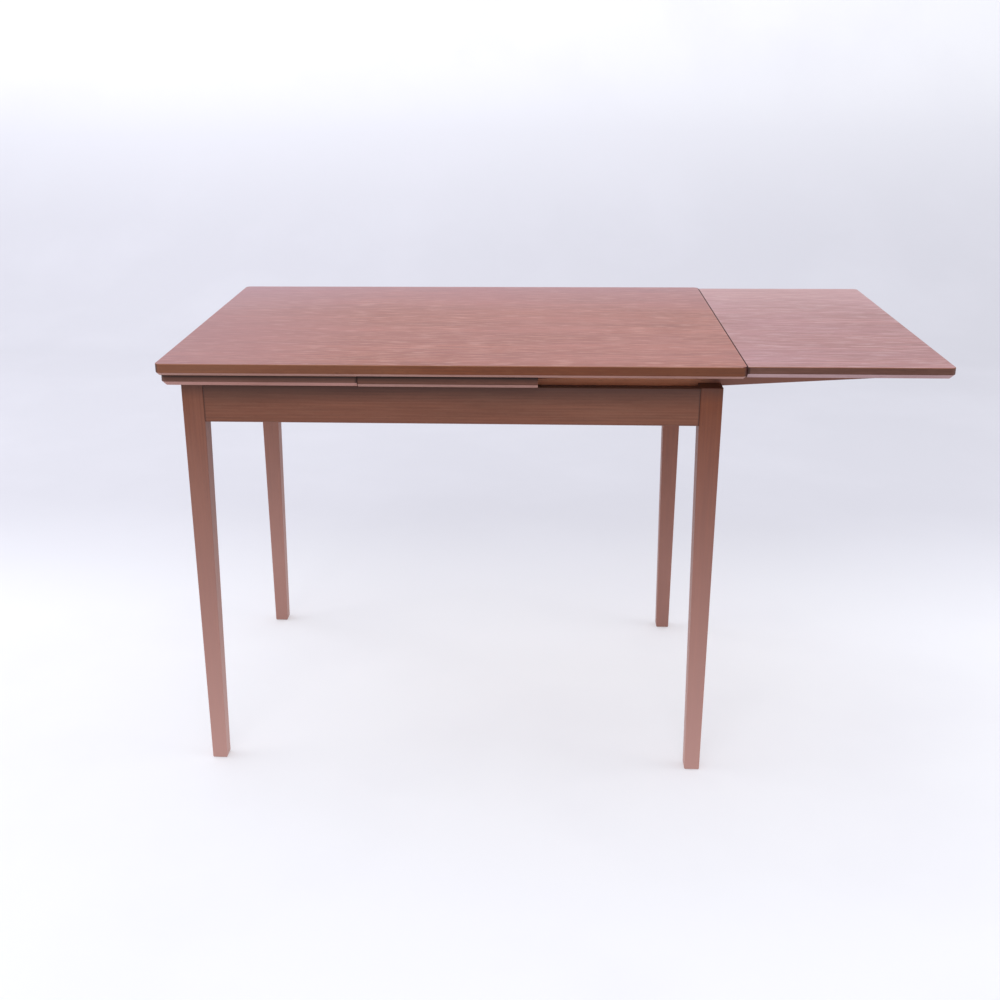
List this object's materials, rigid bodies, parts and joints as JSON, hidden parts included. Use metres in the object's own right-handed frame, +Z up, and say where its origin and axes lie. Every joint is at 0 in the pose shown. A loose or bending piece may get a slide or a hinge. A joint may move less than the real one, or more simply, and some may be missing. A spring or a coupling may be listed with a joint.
{
  "type": "draw-leaf dining table",
  "caption": "Rectangular teak dining table on tapered legs, with draw leaves on sloping lopers that slide out from under a loose main top.",
  "frame": {"origin": "on the floor, below the middle of the table as it stands with the right leaf drawn out", "axes": "+X along the table towards the drawn leaf, +Y from front to back, +Z up"},
  "size_m": [1.2436, 0.666, 0.735],
  "materials": {
    "top_veneer": "oiled teak veneer, satin",
    "core_board": "core board with a plain backing veneer",
    "teak_lipping": "oiled solid teak, satin",
    "teak_loper": "planed solid teak, waxed",
    "teak_frame": "oiled solid teak, satin",
    "teak_leg": "oiled solid teak, satin",
    "beech": "plain planed beech",
    "steel": "zinc-plated screw steel",
    "felt": "pressed wool felt"
  },
  "bodies": {
    "frame": {"leg_front_left": "teak_leg", "leg_front_right": "teak_leg", "leg_back_left": "teak_leg", "leg_back_right": "teak_leg", "apron_front": "teak_frame", "apron_back": "teak_frame", "end_rail_left": "teak_frame", "end_rail_right": "teak_frame", "bearer_left": "beech", "bearer_right": "beech", "centre_board": "core_board", "centre_board_lipping": "teak_lipping", "centre_board_felts": "felt", "centre_board_screws": "steel", "corner_braces": "beech", "corner_brace_screws": "steel"},
    "top": {"main_top": "core_board", "main_top_lipping": "teak_lipping", "main_top_veneer": "top_veneer", "guide_pegs": "beech"},
    "left_leaf": {"left_leaf": "core_board", "left_leaf_lipping": "teak_lipping", "left_leaf_veneer": "top_veneer", "left_loper_front": "teak_loper", "left_loper_back": "teak_loper", "left_leaf_screws": "steel", "left_stop_dowels": "beech"},
    "right_leaf": {"right_leaf": "core_board", "right_leaf_lipping": "teak_lipping", "right_leaf_veneer": "top_veneer", "right_loper_front": "teak_loper", "right_loper_back": "teak_loper", "right_leaf_screws": "steel", "right_stop_dowels": "beech"}
  },
  "joints": [
    {"name": "left_leaf_slide", "type": "slide", "parent": "frame", "child": "left_leaf", "axis": [-0.9983, 0, 0.058], "range_m": [0, 0.32805]},
    {"name": "top_lift", "type": "slide", "parent": "frame", "child": "top", "axis": [0, 0, 1], "range_m": [0, 0.01874]},
    {"name": "right_leaf_slide", "type": "slide", "parent": "frame", "child": "right_leaf", "axis": [0.9983, 0, 0.058], "range_m": [0, 0.00591]}
  ],
  "couplings": [
    {"joint": "top_lift", "follows": "left_leaf_slide", "ratio": 0.05683}
  ]
}
